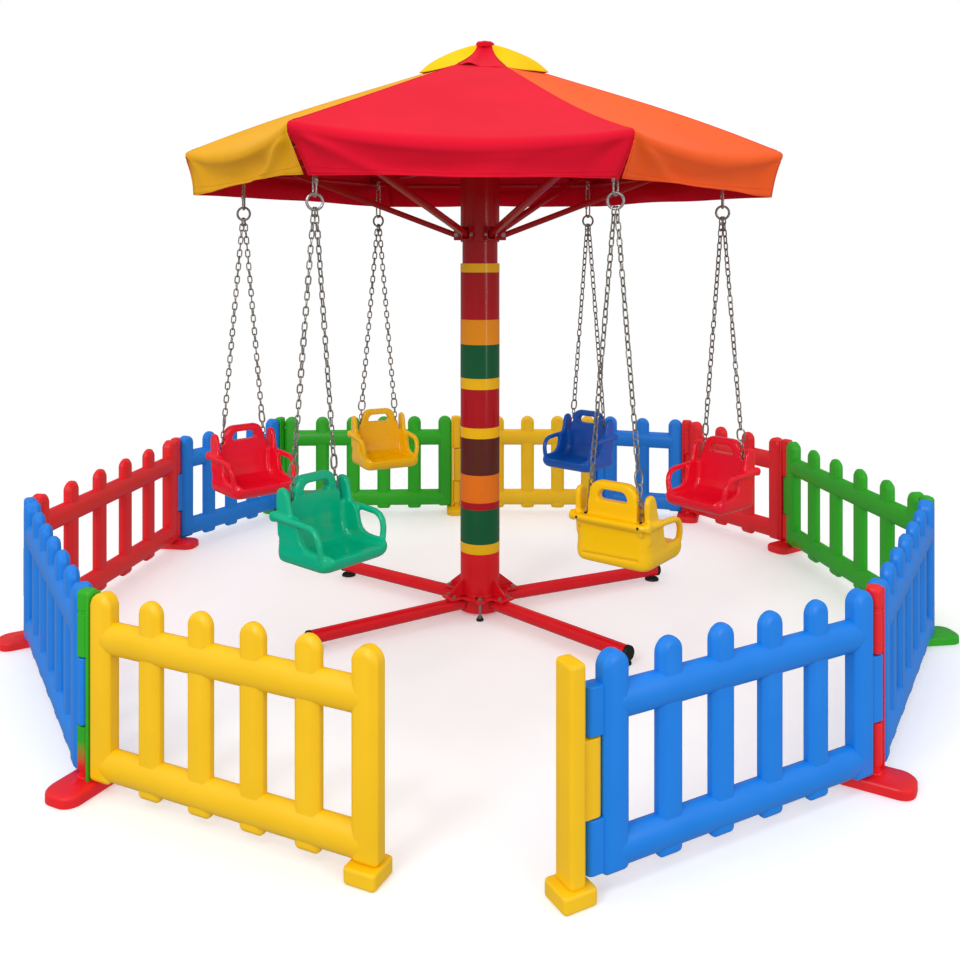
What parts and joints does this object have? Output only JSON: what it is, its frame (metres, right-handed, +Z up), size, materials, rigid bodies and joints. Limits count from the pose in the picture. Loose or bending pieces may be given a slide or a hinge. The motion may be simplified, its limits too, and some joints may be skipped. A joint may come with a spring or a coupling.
{
  "type": "chair swing ride",
  "caption": "Small chair swing ride with a turning six-sided canopy, bucket seats on chains and a ring of picket fence.",
  "frame": {"origin": "on the floor under the middle of the mast, on the flat bottom of the hub's centre foot", "axes": "+Z up along the mast; -Y faces the entrance in the fence"},
  "size_m": [3.9796, 3.8355, 2.577],
  "materials": {
    "red_paint": "gloss paint",
    "zinc_steel": "zinc plated",
    "canopy_cloth": "coated cloth",
    "cap_cloth": "coated cloth",
    "seat_red": "moulded plastic",
    "seat_blue": "moulded plastic",
    "seat_yellow": "moulded plastic",
    "seat_green": "moulded plastic",
    "fence_red": "moulded plastic",
    "fence_blue": "moulded plastic",
    "fence_yellow": "moulded plastic",
    "fence_green": "moulded plastic"
  },
  "bodies": {
    "stand": {"base_hub": "red_paint", "leg_1": "red_paint", "leg_2": "red_paint", "leg_3": "red_paint", "leg_4": "red_paint", "mast_column": "red_paint", "fence_panel_2": "fence_blue", "fence_panel_3": "fence_red", "fence_panel_4": "fence_blue", "fence_panel_5": "fence_green", "fence_panel_6": "fence_yellow", "fence_panel_7": "fence_blue", "fence_panel_8": "fence_red", "fence_panel_9": "fence_green", "fence_panel_10": "fence_blue", "fence_post_2": "fence_red", "fence_post_3": "fence_red", "fence_post_4": "fence_green", "fence_post_5": "fence_yellow", "fence_post_6": "fence_blue", "fence_post_7": "fence_red", "fence_post_8": "fence_red", "fence_post_9": "fence_green", "fence_post_10": "fence_red"},
    "head": {"head_sleeve": "red_paint", "arm_1": "red_paint", "arm_2": "red_paint", "arm_3": "red_paint", "arm_4": "red_paint", "arm_5": "red_paint", "arm_6": "red_paint", "rim_frame": "red_paint", "canopy": "canopy_cloth", "canopy_cap": "cap_cloth"},
    "hanger_1": {"hook_1": "zinc_steel"},
    "swing_1": {"chains_1": "zinc_steel", "seat_1": "seat_red"},
    "hanger_2": {"hook_2": "zinc_steel"},
    "swing_2": {"chains_2": "zinc_steel", "seat_2": "seat_blue"},
    "hanger_3": {"hook_3": "zinc_steel"},
    "swing_3": {"chains_3": "zinc_steel", "seat_3": "seat_yellow"},
    "hanger_4": {"hook_4": "zinc_steel"},
    "swing_4": {"chains_4": "zinc_steel", "seat_4": "seat_red"},
    "hanger_5": {"hook_5": "zinc_steel"},
    "swing_5": {"chains_5": "zinc_steel", "seat_5": "seat_green"},
    "hanger_6": {"hook_6": "zinc_steel"},
    "swing_6": {"chains_6": "zinc_steel", "seat_6": "seat_yellow"},
    "gate_left": {"fence_panel_1": "fence_yellow", "fence_post_1": "fence_green"},
    "gate_right": {"fence_panel_11": "fence_blue", "fence_post_11": "fence_yellow"}
  },
  "joints": [
    {"name": "head_turn", "type": "hinge", "parent": "stand", "child": "head", "pos_m": [0, 0, 1.7], "axis": [0, 0, 1], "continuous": true},
    {"name": "swing_out_1", "type": "hinge", "parent": "head", "child": "hanger_1", "pos_m": [1.08851, -0.05705, 1.983], "axis": [-0.0523, -0.9986, 0], "range_deg": [-15, 25]},
    {"name": "swing_side_1", "type": "hinge", "parent": "hanger_1", "child": "swing_1", "pos_m": [1.08851, -0.05705, 1.8275], "axis": [0.9986, -0.0523, 0], "range_deg": [-20, 20]},
    {"name": "swing_out_2", "type": "hinge", "parent": "head", "child": "hanger_2", "pos_m": [0.59366, 0.91415, 1.983], "axis": [0.8387, -0.5446, 0], "range_deg": [-15, 25]},
    {"name": "swing_side_2", "type": "hinge", "parent": "hanger_2", "child": "swing_2", "pos_m": [0.59366, 0.91415, 1.8275], "axis": [0.5446, 0.8387, 0], "range_deg": [-20, 20]},
    {"name": "swing_out_3", "type": "hinge", "parent": "head", "child": "hanger_3", "pos_m": [-0.56139, 0.93431, 1.983], "axis": [0.8572, 0.515, 0], "range_deg": [-15, 25]},
    {"name": "swing_side_3", "type": "hinge", "parent": "hanger_3", "child": "swing_3", "pos_m": [-0.56139, 0.93431, 1.8275], "axis": [-0.515, 0.8572, 0], "range_deg": [-20, 20]},
    {"name": "swing_out_4", "type": "hinge", "parent": "head", "child": "hanger_4", "pos_m": [-1.08851, 0.05705, 1.983], "axis": [0.0523, 0.9986, 0], "range_deg": [-15, 25]},
    {"name": "swing_side_4", "type": "hinge", "parent": "hanger_4", "child": "swing_4", "pos_m": [-1.08851, 0.05705, 1.8275], "axis": [-0.9986, 0.0523, 0], "range_deg": [-20, 20]},
    {"name": "swing_out_5", "type": "hinge", "parent": "head", "child": "hanger_5", "pos_m": [-0.59366, -0.91415, 1.983], "axis": [-0.8387, 0.5446, 0], "range_deg": [-15, 25]},
    {"name": "swing_side_5", "type": "hinge", "parent": "hanger_5", "child": "swing_5", "pos_m": [-0.59366, -0.91415, 1.8275], "axis": [-0.5446, -0.8387, 0], "range_deg": [-20, 20]},
    {"name": "swing_out_6", "type": "hinge", "parent": "head", "child": "hanger_6", "pos_m": [0.47782, -0.97969, 1.983], "axis": [-0.8988, -0.4384, 0], "range_deg": [-15, 25]},
    {"name": "swing_side_6", "type": "hinge", "parent": "hanger_6", "child": "swing_6", "pos_m": [0.47782, -0.97969, 1.8275], "axis": [0.4384, -0.8988, 0], "range_deg": [-20, 20]},
    {"name": "gate_left_swing", "type": "hinge", "parent": "stand", "child": "gate_left", "pos_m": [-1.189, -1.466, 0.3], "axis": [0, 0, -1], "range_deg": [-20, 75]},
    {"name": "gate_right_swing", "type": "hinge", "parent": "stand", "child": "gate_right", "pos_m": [1.198, -1.444, 0.3], "axis": [0, 0, 1], "range_deg": [-20, 75]}
  ]
}
